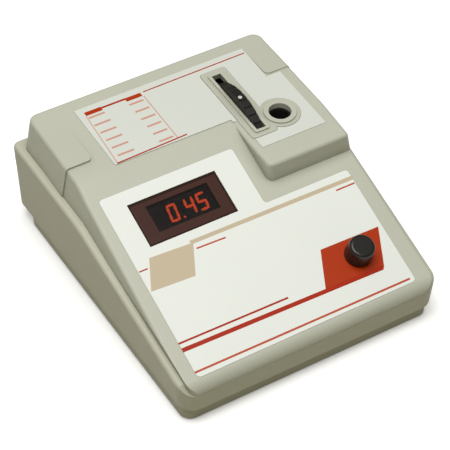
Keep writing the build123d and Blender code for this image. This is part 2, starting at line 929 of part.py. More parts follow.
cap_gap = 0.3
cap_base = panel_face + 2 + cap_gap
stem_length = 7.0
with BuildPart() as fuse_cap:
    with BuildSketch(facing_front(cap_base)):
        with Locations((fuse_x, fitting_z)):
            Circle(fuse_cap_radius)
            with PolarLocations(fuse_cap_radius + 0.5, 16):
                Circle(0.9, mode=Mode.SUBTRACT)
    extrude(amount=-fuse_cap_length)
    with BuildSketch(facing_front(cap_base)):
        with Locations((fuse_x, fitting_z)):
            Circle(fuse_bore - 0.3)
    extrude(amount=stem_length)
    with BuildSketch(facing_front(cap_base - stem_length)):
        with Locations((fuse_x, fitting_z)):
            Circle(2.75)
    extrude(amount=-4.5, mode=Mode.SUBTRACT)
    with BuildSketch(facing_front(cap_base + fuse_cap_length)):
        with Locations((fuse_x, fitting_z)):
            Rectangle(9, 1.6)
    extrude(amount=1.2, mode=Mode.SUBTRACT)
save(fuse_cap, "fuse_cap")

fuse_end = cap_base - stem_length + 4.4
with BuildPart() as mains_fuse:
    for start, length, radius in ((0, 5, 2.6), (5, 10, 2.4), (15, 5, 2.6)):
        with BuildSketch(facing_front(fuse_end - start)):
            with Locations((fuse_x, fitting_z)):
                Circle(radius)
        extrude(amount=length)
save(mains_fuse, "mains_fuse")

switch_face = panel_face + 1.5
pivot_depth = panel_face - 1.0
switch_cavity = (switch_size[0] - 2.4, 2 * rocker_radius + 1.0)
with BuildPart() as switch_frame:
    add(rear_block(switch_x, switch_flange, switch_face, 1.5))
    add(rear_block(switch_x, switch_size, panel_face, 15))
    add(rear_block(switch_x, switch_cavity, switch_face, 10), mode=Mode.SUBTRACT)
    with BuildSketch(Plane.YZ.offset(switch_x)):
        with Locations((back(pivot_depth), fitting_z)):
            Circle(1.0)
    extrude(amount=switch_size[0] / 2 - 0.4, both=True, mode=Mode.SUBTRACT)
save(switch_frame, "switch_frame")

rocker_width = switch_cavity[0] - 0.6
with BuildPart() as power_rocker:
    with BuildSketch(Plane.YZ.offset(switch_x)):
        with Locations((back(pivot_depth), fitting_z)):
            Circle(rocker_radius)
            with Locations(Rotation(0, 0, -rocker_tilt)):
                Polygon(
                    (-4, -4), (5, -9), (5.4, -7), (3.6, 0), (5.4, 7), (5, 9), (-4, 4),
                    align=None, mode=Mode.INTERSECT,
                )
            Circle(1.0 + running_gap, mode=Mode.SUBTRACT)
    extrude(amount=rocker_width / 2, both=True)
save(power_rocker, "power_rocker")

with BuildPart() as rocker_pin:
    with BuildSketch(Plane.YZ.offset(switch_x)):
        with Locations((back(pivot_depth), fitting_z)):
            Circle(1.0)
    extrude(amount=switch_size[0] / 2 - 0.4, both=True)
save(rocker_pin, "rocker_pin")


# Set knob on its potentiometer

nut_top = nut_height
bush_top = 5.0
knob_top = knob_base + knob_height

with BuildPart() as potentiometer:
    with BuildSketch(panel.offset(-roof_drop)):
        with Locations(knob_place):
            Circle(pot_body)
    extrude(amount=-pot_height)
    with BuildSketch(panel.offset(-roof_drop)):
        with Locations(knob_place):
            Circle(pot_bush)
    extrude(amount=roof_drop + bush_top)
    with BuildSketch(panel.offset(bush_top)):
        with Locations(knob_place):
            Circle(shaft_radius + running_gap)
    extrude(amount=-bush_top - roof_drop - pot_height / 2, mode=Mode.SUBTRACT)
    with BuildSketch(panel.offset(-roof_drop - 2)):
        with Locations((knob_x, knob_place[1] - pot_body)):
            Rectangle(16, 9)
    extrude(amount=-1.6)
save(potentiometer, "potentiometer")

with BuildPart() as pot_nut:
    with BuildSketch(panel):
        with Locations(knob_place):
            RegularPolygon(nut_across / 2, 6, major_radius=False)
            Circle(pot_bush + 0.05, mode=Mode.SUBTRACT)
    extrude(amount=nut_top)
save(pot_nut, "pot_nut")

with BuildPart() as pot_shaft:
    with BuildSketch(panel.offset(-roof_drop - pot_height / 2 + 0.3)):
        with Locations(knob_place):
            Circle(shaft_radius)
    extrude(amount=roof_drop + pot_height / 2 + knob_top - 3.4)
save(pot_shaft, "pot_shaft")

with BuildPart() as set_knob:
    with BuildSketch(panel.offset(knob_base)):
        with Locations(knob_place):
            Circle(knob_radius)
    extrude(amount=knob_height, taper=4)
    crown = set_knob.faces().sort_by(Axis.Z)[-1]
    fillet(crown.edges(), 2.5)
    with BuildSketch(panel.offset(knob_base + 2.5)):
        with Locations(knob_place):
            with PolarLocations(knob_radius + 0.6, knob_flutes):
                Circle(1.3)
    extrude(amount=knob_height, mode=Mode.SUBTRACT)
    for top, radius in ((nut_top + 1, 8.7), (bush_top + 0.6, pot_bush + 0.5), (knob_top - 2.8, shaft_radius + 0.02)):
        with BuildSketch(panel.offset(knob_base)):
            with Locations(knob_place):
                Circle(radius)
        extrude(amount=top - knob_base, mode=Mode.SUBTRACT)
    with BuildSketch(Plane(origin=panel.from_local_coords((*knob_place, 9.0)), x_dir=(0, 1, 0), z_dir=(1, 0, 0))):
        Circle(1.5)
    extrude(amount=knob_radius, mode=Mode.SUBTRACT)
save(set_knob, "set_knob")

screw_plane = Plane(origin=panel.from_local_coords((*knob_place, 9.0)), x_dir=(0, 1, 0), z_dir=(1, 0, 0))
with BuildPart() as knob_screw:
    with BuildSketch(screw_plane.offset(shaft_radius + 0.05)):
        Circle(1.45)
    extrude(amount=4.5)
save(knob_screw, "knob_screw")


# Filter wheel with its colour filters, on a fixed axle

beam_drop = sqrt(filter_circle**2 - (wheel_depth - well_depth) ** 2)
beam_z = wheel_z - beam_drop
first_filter = 180 + degrees(atan(beam_drop / (wheel_depth - well_depth)))
wheel_spot = (back(wheel_depth), wheel_z)
wheel_left = wheel_x - wheel_thickness / 2
wheel_right = wheel_x + wheel_thickness / 2
cheek_left = wheel_left - cheek_gap
cheek_right = wheel_right + cheek_gap


def across(x):
    """Upright plane across the case at an X, facing +X."""
    return Plane.YZ.offset(x)


with BuildPart() as filter_wheel:
    with BuildSketch(across(wheel_left)):
        with Locations(wheel_spot):
            Circle(wheel_radius)
            with PolarLocations(wheel_radius, wheel_grips):
                RegularPolygon(grip_depth, 4, mode=Mode.SUBTRACT)
            with PolarLocations(filter_circle, filter_count, first_filter):
                Circle(filter_hole, mode=Mode.SUBTRACT)
            Circle(bush_radius, mode=Mode.SUBTRACT)
    extrude(amount=wheel_thickness)
    with BuildSketch(across(wheel_left)):
        with Locations(wheel_spot):
            with PolarLocations(filter_circle, filter_count, first_filter):
                Circle(filter_radius)
    extrude(amount=filter_seat, mode=Mode.SUBTRACT)
    # Shallow dish on each face between the hub and the filters
    for face in (wheel_left, wheel_right - 1.2):
        with BuildSketch(across(face)):
            with Locations(wheel_spot):
                Circle(filter_circle - filter_radius - 2)
                Circle(bush_radius + 5, mode=Mode.SUBTRACT)
        extrude(amount=1.2, mode=Mode.SUBTRACT)
save(filter_wheel, "filter_wheel")

with BuildPart() as colour_filters:
    with BuildSketch(across(wheel_left + filter_seat - filter_thickness)):
        with Locations(wheel_spot):
            with PolarLocations(filter_circle, filter_count, first_filter):
                Circle(filter_radius - 0.1)
    extrude(amount=filter_thickness)
save(colour_filters, "colour_filters")

with BuildPart() as wheel_bush:
    with BuildSketch(across(wheel_x - bush_length / 2)):
        with Locations(wheel_spot):
            Circle(bush_radius)
            Circle(axle_radius + running_gap, mode=Mode.SUBTRACT)
    extrude(amount=bush_length)
save(wheel_bush, "wheel_bush")

axle_end = cheek + 4.0
with BuildPart() as filter_axle:
    with BuildSketch(across(cheek_left - axle_end)):
        with Locations(wheel_spot):
            Circle(axle_radius)
    extrude(amount=cheek_right - cheek_left + axle_end + 1.5 + cheek)
    for x in (cheek_left - cheek - 1.4, cheek_right + cheek + 0.2):
        with BuildSketch(across(x)):
            with Locations(wheel_spot):
                Circle(axle_radius + 1)
                Circle(axle_radius - 0.5, mode=Mode.SUBTRACT)
        extrude(amount=0.9, mode=Mode.SUBTRACT)
save(filter_axle, "filter_axle")

with BuildPart() as axle_clips:
    for x in (cheek_left - cheek - 1.35, cheek_right + cheek + 0.25):
        with BuildSketch(across(x)):
            with Locations(wheel_spot):
                Circle(axle_radius + 2.5)
                Circle(axle_radius - 0.45, mode=Mode.SUBTRACT)
                with Locations((-4, 0)):
                    Rectangle(8, 3.4, mode=Mode.SUBTRACT)
        extrude(amount=0.8)
save(axle_clips, "axle_clips")

with BuildPart() as detent_spring:
    with BuildSketch(across(wheel_x - detent_width / 2)):
        with BuildLine():
            hump = wheel_z - wheel_radius - 0.3
            Polyline(
                (back(wheel_depth - 24), bench_top),
                (back(wheel_depth - 8), bench_top),
                (back(wheel_depth), hump - 0.5),
                (back(wheel_depth + 8), bench_top),
                (back(wheel_depth + 30), bench_top),
                (back(wheel_depth + 30), bench_top + detent_thickness),
                (back(wheel_depth + 8), bench_top + detent_thickness),
                (back(wheel_depth), hump),
                (back(wheel_depth - 8), bench_top + detent_thickness),
                (back(wheel_depth - 24), bench_top + detent_thickness),
                close=True,
            )
        make_face()
    extrude(amount=detent_width)
save(detent_spring, "detent_spring")


# Optical bench: a plate with two cheeks for the axle

flange_length = 2 * well_half + 14
well_holes = [(well_x, bench_y + s * (flange_length - 7) / 2) for s in (-1, 1)]

with BuildPart() as optical_bench:
    with BuildSketch(Plane.XY.offset(bench_bottom)):
        with Locations(((bench_left + bench_right) / 2, back((bench_front + bench_rear) / 2))):
            Rectangle(bench_right - bench_left, bench_rear - bench_front)
        with Locations(*bench_posts, *well_holes):
            Circle(pilot_radius, mode=Mode.SUBTRACT)
    extrude(amount=bench_plate)
    for x in (cheek_left - cheek, cheek_right):
        with BuildSketch(across(x)):
            Polygon(
                (back(wheel_depth - 36), bench_top - 1),
                (back(wheel_depth - 36), beam_z + 14),
                (back(wheel_depth - 10), wheel_z + 9),
                (back(wheel_depth + 10), wheel_z + 9),
                (back(wheel_depth + 34), bench_top + 16),
                (back(wheel_depth + 34), bench_top - 1),
                align=None,
            )
            with Locations(wheel_spot):
                Circle(axle_radius + 0.02, mode=Mode.SUBTRACT)
            with Locations((bench_y, beam_z)):
                Circle(beam_radius + 1, mode=Mode.SUBTRACT)
        extrude(amount=cheek)
save(optical_bench, "optical_bench")


# Sample well, lamp, lens and photocell, in line along the light path

well_top = plateau_z(well_depth - well_half) - case_wall - roof_gap
with BuildPart() as sample_well:
    with BuildSketch(Plane.XY.offset(bench_top)):
        with Locations((well_x, bench_y)):
            RectangleRounded(2 * well_half, 2 * well_half, well_corner)
    extrude(amount=well_top - bench_top)
    with BuildSketch(Plane.XY.offset(bench_top)):
        with Locations((well_x, bench_y)):
            RectangleRounded(2 * well_half - 2, flange_length, well_corner)
            with GridLocations(0, flange_length - 7, 1, 2):
                Circle(pilot_radius, mode=Mode.SUBTRACT)
    extrude(amount=3)
    with BuildSketch(Plane.XY.offset(well_floor)):
        with Locations((well_x, bench_y)):
            Circle(well_bore)
    extrude(amount=well_top, mode=Mode.SUBTRACT)
    with BuildSketch(across(well_x)):
        with Locations((bench_y, beam_z)):
            Circle(beam_radius)
    extrude(amount=2 * well_half, both=True, mode=Mode.SUBTRACT)
save(sample_well, "sample_well")

well_screws = screws(upward(well_holes, bench_top + 3), 2.2, 1.6, 1.1, 5)
save(well_screws, "well_screws")


def holder(left, width, half):
    """Block on the bench round the light path."""
    with BuildPart() as block:
        with BuildSketch(across(left)):
            with Locations((bench_y, (bench_top + beam_z + half) / 2)):
                RectangleRounded(2 * half, beam_z + half - bench_top, 1.5)
        extrude(amount=width)
    return block.part


def beam_bore(left, width, radius):
    """Round bar on the light path."""
    with BuildPart() as bar:
        with BuildSketch(across(left)):
            with Locations((bench_y, beam_z)):
                Circle(radius)
        extrude(amount=width)
    return bar.part


holder_width = 10.0
with BuildPart() as lamp_holder:
    add(holder(lamp_x - holder_width, holder_width, 9))
    add(beam_bore(lamp_x - holder_width, holder_width, lamp_cap + 0.1), mode=Mode.SUBTRACT)
save(lamp_holder, "lamp_holder")

beam_axis = Axis((0, bench_y, beam_z), (1, 0, 0))
with BuildPart() as lamp_bulb:
    with BuildSketch(facing_front(well_depth)):
        with BuildLine():
            Polyline(
                (lamp_x + 7, beam_z + lamp_cap),
                (lamp_x - holder_width, beam_z + lamp_cap),
                (lamp_x - holder_width - 2, beam_z + 2),
                (lamp_x - holder_width - 2, beam_z),
                (lamp_x + 7 + lamp_cap, beam_z),
            )
            RadiusArc((lamp_x + 7, beam_z + lamp_cap), (lamp_x + 7 + lamp_cap, beam_z), lamp_cap)
        make_face()
    revolve(axis=beam_axis)
save(lamp_bulb, "lamp_bulb")

lens_left = lens_x - lens_thickness / 2
with BuildPart() as lens_holder:
    add(holder(lens_left - 1.5, lens_thickness + 2.5, 12))
    add(beam_bore(lens_left, lens_thickness + 2, lens_radius + 0.05), mode=Mode.SUBTRACT)
    add(beam_bore(lens_left - 2, 3, lens_radius - 1), mode=Mode.SUBTRACT)
save(lens_holder, "lens_holder")

with BuildPart() as condenser_lens:
    with BuildSketch(facing_front(well_depth)):
        with Locations((lens_x, beam_z + lens_radius / 2)):
            Rectangle(lens_thickness, lens_radius)
        with Locations((lens_left + lens_thickness - lens_curve, beam_z)):
            Circle(lens_curve, mode=Mode.INTERSECT)
    revolve(axis=beam_axis)
save(condenser_lens, "condenser_lens")

with BuildPart() as photocell_holder:
    add(holder(photocell_x - photocell_thickness, 11, 9.5))
    add(beam_bore(photocell_x - photocell_thickness, photocell_thickness + 0.5, photocell_radius + 0.1),
        mode=Mode.SUBTRACT)
    add(beam_bore(photocell_x, 12, 2.0), mode=Mode.SUBTRACT)
save(photocell_holder, "photocell_holder")

with BuildPart() as photocell:
    add(beam_bore(photocell_x - photocell_thickness + 0.2, photocell_thickness, photocell_radius))
    add(beam_bore(photocell_x, 14, 0.5))
save(photocell, "photocell")


# Main board and its components

with BuildPart() as main_board:
    with BuildSketch(Plane.XY.offset(board_bottom)):
        with Locations(board_mid):
            Rectangle(board_right - board_left, board_rear - board_front)
            with GridLocations(*board_pitch, 2, 2):
                Circle(pilot_radius, mode=Mode.SUBTRACT)
    extrude(amount=board_thickness)
save(main_board, "main_board")


def chip(place, size, legs, pitch):
    """Dual-in-line chip on the board, with its legs."""
    with BuildPart() as body:
        with BuildSketch(Plane.XY.offset(board_top + 0.8)):
            with Locations(place):
                Rectangle(*size)
        extrude(amount=3.4)
        with BuildSketch(Plane.XY.offset(board_top)):
            with Locations(place):
                with GridLocations(pitch, size[1], legs, 2):
                    Rectangle(0.6, 1.0)
        extrude(amount=2.2)
    return body.part


with BuildPart() as driver_chip:
    add(chip((board_mid[0] - 8, back(100)), (52.0, 14.0), 20, 2.54))
save(driver_chip, "driver_chip")

with BuildPart() as op_amp_chips:
    for x in (-40.0, -24.0):
        add(chip((x, back(70)), (9.6, 6.4), 4, 2.54))
save(op_amp_chips, "op_amp_chips")

with BuildPart() as capacitors:
    for x, depth, radius, height in ((-84.0, 64.0, 8.0, 25.0), (-66.0, 64.0, 6.5, 20.0), (-52.0, 48.0, 5.0, 12.0)):
        with BuildSketch(Plane.XY.offset(board_top)):
            with Locations((x, back(depth))):
                Circle(radius)
        extrude(amount=height)
save(capacitors, "capacitors")

sink_spot = (-72.0, back(44.0))
with BuildPart() as heatsink:
    with BuildSketch(Plane.XY.offset(board_top)):
        with Locations(sink_spot):
            Rectangle(24, 2)
            for x in (-11, -5.5, 0, 5.5, 11):
                with Locations((x, -3.5)):
                    Rectangle(1.2, 6)
    extrude(amount=20)
save(heatsink, "heatsink")

with BuildPart() as regulator:
    with BuildSketch(Plane.XY.offset(board_top + 3)):
        with Locations((sink_spot[0], sink_spot[1] + 1 + 2.25)):
            Rectangle(10, 4.5)
    extrude(amount=9)
    with BuildSketch(Plane.XY.offset(board_top + 3)):
        with Locations((sink_spot[0], sink_spot[1] + 1 + 0.65)):
            Rectangle(10, 1.3)
    extrude(amount=15)
    with BuildSketch(Plane.XY.offset(board_top)):
        with Locations((sink_spot[0], sink_spot[1] + 3)):
            with GridLocations(2.54, 0, 3, 1):
                Rectangle(0.8, 0.6)
    extrude(amount=3.2)
save(regulator, "regulator")


# Mains transformer with its winding and strap

stack = 20.0
leg = core_width / 3
yoke = core_width / 6
core_mid = (core_x, bench_bottom + core_height / 2)
with BuildPart() as transformer_core:
    with BuildSketch(facing_front(core_depth + stack / 2)):
        with Locations(core_mid):
            Rectangle(core_width, core_height)
            with GridLocations(leg + yoke, 0, 2, 1):
                Rectangle(yoke, core_height - 2 * yoke, mode=Mode.SUBTRACT)
    extrude(amount=stack)
save(transformer_core, "transformer_core")

coil_gap = 0.2
with BuildPart() as transformer_winding:
    with BuildSketch(Plane.XY.offset(bench_bottom + yoke + coil_gap)):
        with Locations((core_x, back(core_depth))):
            RectangleRounded(leg + 2 * yoke - 2 * coil_gap, stack + 2 * yoke, 3)
            Rectangle(leg + 2 * coil_gap, stack + 2 * coil_gap, mode=Mode.SUBTRACT)
    extrude(amount=core_height - 2 * yoke - 2 * coil_gap)
save(transformer_winding, "transformer_winding")

strap = 1.2
with BuildPart() as transformer_bracket:
    with BuildSketch(facing_front(core_depth + stack / 2 - 4)):
        with Locations(core_mid):
            Rectangle(core_width + 2 * strap, core_height + 2 * strap)
            Rectangle(core_width, core_height, mode=Mode.SUBTRACT)
        with Locations((core_x, bench_bottom - strap / 2)):
            Rectangle(core_width + 2 * strap, strap, mode=Mode.SUBTRACT)
    extrude(amount=stack - 8)
    with BuildSketch(Plane.XY.offset(bench_bottom)):
        with Locations((core_x, back(core_depth))):
            Rectangle(bracket_span + 10, stack - 8)
            Rectangle(core_width, stack, mode=Mode.SUBTRACT)
        with Locations(*bracket_posts):
            Circle(pilot_radius, mode=Mode.SUBTRACT)
    extrude(amount=strap)
save(transformer_bracket, "transformer_bracket")

bracket_screws = screws(upward(bracket_posts, bench_bottom + strap), 2.5, 1.8, screw_shank, 6)
save(bracket_screws, "bracket_screws")
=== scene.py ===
import math
import bmesh
import bpy
from mathutils import Matrix, Vector


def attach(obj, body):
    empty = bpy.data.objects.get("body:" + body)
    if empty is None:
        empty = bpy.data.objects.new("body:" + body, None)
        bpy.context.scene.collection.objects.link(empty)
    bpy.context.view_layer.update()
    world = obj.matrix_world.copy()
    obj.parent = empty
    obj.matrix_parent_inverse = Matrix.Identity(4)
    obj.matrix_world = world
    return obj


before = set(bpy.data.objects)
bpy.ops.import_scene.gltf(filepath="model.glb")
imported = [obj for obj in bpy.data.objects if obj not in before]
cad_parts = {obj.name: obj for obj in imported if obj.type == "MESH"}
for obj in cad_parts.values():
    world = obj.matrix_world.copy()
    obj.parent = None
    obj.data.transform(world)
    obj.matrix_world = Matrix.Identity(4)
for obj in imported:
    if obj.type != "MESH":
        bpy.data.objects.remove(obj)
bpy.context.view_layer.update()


# Colours and shader nodes
# Short helpers for all the sections below.
def shade(red, green, blue):
    """Scene colour of an 8-bit screen colour."""
    parts = []
    for part in (red, green, blue):
        part /= 255
        parts.append(part / 12.92 if part <= 0.04045 else ((part + 0.055) / 1.055) ** 2.4)
    return (*parts, 1.0)


def feed(group, slot, item):
    """Link a socket to a slot, or set the slot to a plain value."""
    if isinstance(item, bpy.types.NodeSocket):
        group.links.new(item, slot)
    else:
        slot.default_value = item


def number(group, operation, first, second):
    """Math node on two sockets or plain numbers."""
    node = group.nodes.new("ShaderNodeMath")
    node.operation = operation
    feed(group, node.inputs[0], first)
    feed(group, node.inputs[1], second)
    return node.outputs[0]


def blend_colour(group, amount, first, second, mode="MIX"):
    """Colour mix of two sockets or plain colours."""
    node = group.nodes.new("ShaderNodeMix")
    node.data_type = "RGBA"
    node.blend_type = mode
    feed(group, node.inputs[0], amount)
    feed(group, node.inputs[6], first)
    feed(group, node.inputs[7], second)
    return node.outputs[2]


def noise(group, place, scale, detail):
    """Noise value at a place; the scale counts in lumps per metre."""
    node = group.nodes.new("ShaderNodeTexNoise")
    group.links.new(place, node.inputs["Vector"])
    feed(group, node.inputs["Scale"], scale)
    node.inputs["Detail"].default_value = detail
    return node.outputs["Fac"]


def new_group(name, inputs, outputs):
    """Empty shader group with its sockets."""
    group = bpy.data.node_groups.new(name, "ShaderNodeTree")
    kinds = {"colour": "NodeSocketColor", "value": "NodeSocketFloat"}
    for label, kind, start in inputs:
        socket = group.interface.new_socket(label, in_out="INPUT", socket_type=kinds[kind])
        socket.default_value = start
    for label, kind in outputs:
        group.interface.new_socket(label, in_out="OUTPUT", socket_type=kinds[kind])
    return group, group.nodes.new("NodeGroupInput").outputs, group.nodes.new("NodeGroupOutput").inputs


# Bench top, light and camera
# The instrument stands on a plain pale bench under one large soft lamp. The camera looks down on it
# from the front left, through a long lens.
bench_half = 6
bench_bounce = (0.36, 0.335, 0.22, 1)
bench_glow = 0.3
room_bounce = (1.0, 0.965, 0.76, 1)
room_dim = 0.17
plain_white = (1, 1, 1, 1)
lamp_side = 1.3
lamp_power = 31
lamp_place = (-0.27, -0.22, 1.8)
lamp_aim = (0.27, 0.22, -1.75)
camera_lens = 148.04
camera_sensor = 36
camera_place = (-0.51706, -0.86433, 0.99780)
camera_aim = (0.3734, 0.6211, -0.6891)

bpy.context.scene.view_settings.view_transform = "Standard"

bench_shape = bmesh.new()
bmesh.ops.create_grid(bench_shape, x_segments=1, y_segments=1, size=bench_half)
bench_mesh = bpy.data.meshes.new("bench_top")
bench_shape.to_mesh(bench_mesh)
bench_shape.free()
bench_top = bpy.data.objects.new("bench_top", bench_mesh)
bpy.context.scene.collection.objects.link(bench_top)

# White to the eye, but what it throws back on the instrument is dimmer and warmer
bench_paint = bpy.data.materials.new("bench_paint")
bench_paint.use_nodes = True
bench_tree = bench_paint.node_tree
bench_shader = bench_tree.nodes["Principled BSDF"]
bench_ray = bench_tree.nodes.new("ShaderNodeLightPath").outputs
bench_seen = number(bench_tree, "MAXIMUM", bench_ray["Is Camera Ray"], bench_ray["Is Transmission Ray"])
bench_seen = number(bench_tree, "MAXIMUM", bench_seen, bench_ray["Is Glossy Ray"])
bench_tint = blend_colour(bench_tree, bench_seen, bench_bounce, plain_white)
bench_shine = number(bench_tree, "MULTIPLY", bench_seen, bench_glow)
bench_tree.links.new(bench_tint, bench_shader.inputs["Base Color"])
bench_tree.links.new(bench_shine, bench_shader.inputs["Emission Strength"])
bench_shader.inputs["Emission Color"].default_value = plain_white
bench_shader.inputs["Roughness"].default_value = 0.9
bench_shader.inputs["Specular IOR Level"].default_value = 0.1
bench_mesh.materials.append(bench_paint)

room = bpy.data.worlds.new("room")
bpy.context.scene.world = room
room.use_nodes = True
room_tree = room.node_tree
room_light = room_tree.nodes["Background"].inputs
room_seen = room_tree.nodes.new("ShaderNodeLightPath").outputs["Is Camera Ray"]
room_tint = blend_colour(room_tree, room_seen, room_bounce, plain_white)
room_tree.links.new(room_tint, room_light["Color"])
room_strength = room_tree.nodes.new("ShaderNodeMapRange")
room_strength.inputs["To Min"].default_value = room_dim
room_strength.inputs["To Max"].default_value = 1.0
room_tree.links.new(room_seen, room_strength.inputs["Value"])
room_tree.links.new(room_strength.outputs["Result"], room_light["Strength"])

lamp_data = bpy.data.lights.new("soft_lamp", "AREA")
lamp_data.shape = "RECTANGLE"
lamp_data.size = lamp_side
lamp_data.size_y = lamp_side
lamp_data.energy = lamp_power
soft_lamp = bpy.data.objects.new("soft_lamp", lamp_data)
soft_lamp.location = lamp_place
soft_lamp.rotation_euler = Vector(lamp_aim).to_track_quat("-Z", "Y").to_euler()
bpy.context.scene.collection.objects.link(soft_lamp)

camera_data = bpy.data.cameras.new("camera")
camera_data.lens = camera_lens
camera_data.sensor_width = camera_sensor
camera = bpy.data.objects.new("camera", camera_data)
camera.location = camera_place
camera.rotation_euler = Vector(camera_aim).to_track_quat("-Z", "Y").to_euler()
bpy.context.scene.collection.objects.link(camera)
bpy.context.scene.camera = camera


# Lower case
# A deep tub injection-moulded in beige styrene with a lightly spark-eroded skin. Its rim rounds over
# all the way, and its face has dulled and picked up a little dust.
patch_scale = 22
speck_scale = 260
dust_start = 0.62
dust_gain = 5.0
edge_radius = 0.0008
edge_gain = 6.0
# Reach and colour of the painted shade that darkens inner corners
grime_reach = 0.009
grime_tint = (0.10, 0.10, 0.055, 1)

# The skin's last setting scales the painted shade in inner corners
moulded_skin, skin_in, skin_out = new_group(
    "moulded_skin",
    [("Colour", "colour", (0.5, 0.5, 0.5, 1)), ("Dust", "colour", (0.4, 0.4, 0.35, 1)),
     ("Mottle", "value", 0.06), ("Grain", "value", 1400.0), ("Roughness", "value", 0.5),
     ("Spread", "value", 0.08), ("Wear", "value", 0.0), ("Worn", "colour", (0.6, 0.6, 0.6, 1)),
     ("Painted shade", "value", 0.0)],
    [("Colour", "colour"), ("Roughness", "value"), ("Height", "value")],
)
skin_place = moulded_skin.nodes.new("ShaderNodeTexCoord").outputs["Object"]
patches = noise(moulded_skin, skin_place, patch_scale, 4)
grain = noise(moulded_skin, skin_place, skin_in["Grain"], 2)
specks = noise(moulded_skin, skin_place, speck_scale, 3)

# Broad and fine mottle of the colour
tone = 1.0
for unevenness in (patches, grain):
    change = number(moulded_skin, "SUBTRACT", unevenness, 0.5)
    change = number(moulded_skin, "MULTIPLY", change, skin_in["Mottle"])
    tone = number(moulded_skin, "ADD", change, tone)
tone_colour = moulded_skin.nodes.new("ShaderNodeCombineColor")
for channel in tone_colour.inputs:
    moulded_skin.links.new(tone, channel)
toned = blend_colour(moulded_skin, 1.0, skin_in["Colour"], tone_colour.outputs[0], "MULTIPLY")

# Dust specks
dust = number(moulded_skin, "SUBTRACT", specks, dust_start)
dust = number(moulded_skin, "MULTIPLY", dust, dust_gain)
dust = number(moulded_skin, "MAXIMUM", dust, 0.0)
dust = number(moulded_skin, "MULTIPLY", dust, skin_in["Mottle"])
dusted = blend_colour(moulded_skin, dust, toned, skin_in["Dust"])

# Lighter, rubbed edges
edge_turn = moulded_skin.nodes.new("ShaderNodeBevel")
edge_turn.samples = 4
edge_turn.inputs["Radius"].default_value = edge_radius
true_turn = moulded_skin.nodes.new("ShaderNodeNewGeometry")
edge = moulded_skin.nodes.new("ShaderNodeVectorMath")
edge.operation = "DOT_PRODUCT"
moulded_skin.links.new(edge_turn.outputs[0], edge.inputs[0])
moulded_skin.links.new(true_turn.outputs["Normal"], edge.inputs[1])
rubbed = number(moulded_skin, "SUBTRACT", 1.0, edge.outputs["Value"])
rubbed = number(moulded_skin, "MULTIPLY", rubbed, edge_gain)
rubbed = number(moulded_skin, "MULTIPLY", rubbed, patches)
rubbed = number(moulded_skin, "MULTIPLY", rubbed, skin_in["Wear"])
rubbed = number(moulded_skin, "MINIMUM", rubbed, 1.0)
worn_colour = blend_colour(moulded_skin, rubbed, dusted, skin_in["Worn"])

# Painted shade in the inner corners: the colour is darkened where ambient occlusion finds surfaces close
# by
corner_occlusion = moulded_skin.nodes.new("ShaderNodeAmbientOcclusion")
corner_occlusion.samples = 6
corner_occlusion.inputs["Distance"].default_value = grime_reach
grime_mask = number(moulded_skin, "SUBTRACT", 1.0, corner_occlusion.outputs["AO"])
grime_mask = number(moulded_skin, "MULTIPLY", grime_mask, skin_in["Painted shade"])
shaded_colour = blend_colour(moulded_skin, grime_mask, worn_colour, grime_tint)

gloss = number(moulded_skin, "SUBTRACT", patches, 0.5)
gloss = number(moulded_skin, "MULTIPLY", gloss, skin_in["Spread"])
gloss = number(moulded_skin, "ADD", gloss, skin_in["Roughness"])
moulded_skin.links.new(shaded_colour, skin_out["Colour"])
moulded_skin.links.new(gloss, skin_out["Roughness"])
moulded_skin.links.new(grain, skin_out["Height"])


# One of the material's settings paints shade into inner corners
def finish(name, colour, roughness=0.5, metallic=0.0, mottle=0.06, grain=1400.0, bump=0.00004,
           wear=0.0, coat=0.0, grime=0.0, shine=0.5):
    """Material with the shared skin; returns it with its shader's inputs and its skin node."""
    made = bpy.data.materials.new(name)
    made.use_nodes = True
    tree = made.node_tree
    shader = tree.nodes["Principled BSDF"].inputs
    skin = tree.nodes.new("ShaderNodeGroup")
    skin.node_tree = moulded_skin
    looks = {
        "Colour": colour,
        "Dust": tuple(0.75 * part for part in colour[:3]) + (1,),
        "Worn": tuple(min(1, 1.3 * part + 0.02) for part in colour[:3]) + (1,),
        "Mottle": mottle, "Grain": grain, "Roughness": roughness, "Wear": wear, "Painted shade": grime,
    }
    for label, look in looks.items():
        skin.inputs[label].default_value = look
    bumps = tree.nodes.new("ShaderNodeBump")
    bumps.inputs["Distance"].default_value = bump
    bumps.inputs["Strength"].default_value = 1.0
    tree.links.new(skin.outputs["Colour"], shader["Base Color"])
    tree.links.new(skin.outputs["Roughness"], shader["Roughness"])
    tree.links.new(skin.outputs["Height"], bumps.inputs["Height"])
    tree.links.new(bumps.outputs["Normal"], shader["Normal"])
    shader["Metallic"].default_value = metallic
    shader["Coat Weight"].default_value = coat
    shader["Specular IOR Level"].default_value = shine
    return made, shader, skin


def dress(nodes, name, colour, **looks):
    """Give carried-over nodes a new finish; returns what finish returns."""
    made, shader, skin = finish(name, colour, **looks)
    for node in nodes:
        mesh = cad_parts[node].data
        mesh.materials.clear()
        mesh.materials.append(made)
    return made, shader, skin


# Its skin paints shade into its inner corners and along its foot by the bench
dress(["base_case"], "case_skin", shade(193, 192, 174),
      roughness=0.55, mottle=0.07, grain=900.0, bump=0.00005, wear=0.5, grime=0.5, shine=0.4)


# Top cover
# A wedge shell moulded in the same styrene. The raised block, the corner pads, the slot's surround and
# the hole's collar are in one with it, and its inner corners get stronger painted shade than the case's.
dress(["top_cover"], "cover_skin", shade(192, 193, 178),
      roughness=0.5, mottle=0.06, grain=900.0, bump=0.00005, wear=0.5, grime=0.8, shine=0.4)


# Front overlay
# A pale printed polyester film, die-cut with round corners and stuck to the sloping panel. Its bars
# and stripes are screen-printed in tan and brick red, with no words.
front_edge = 130.25
ink_sharpness = 6000.0

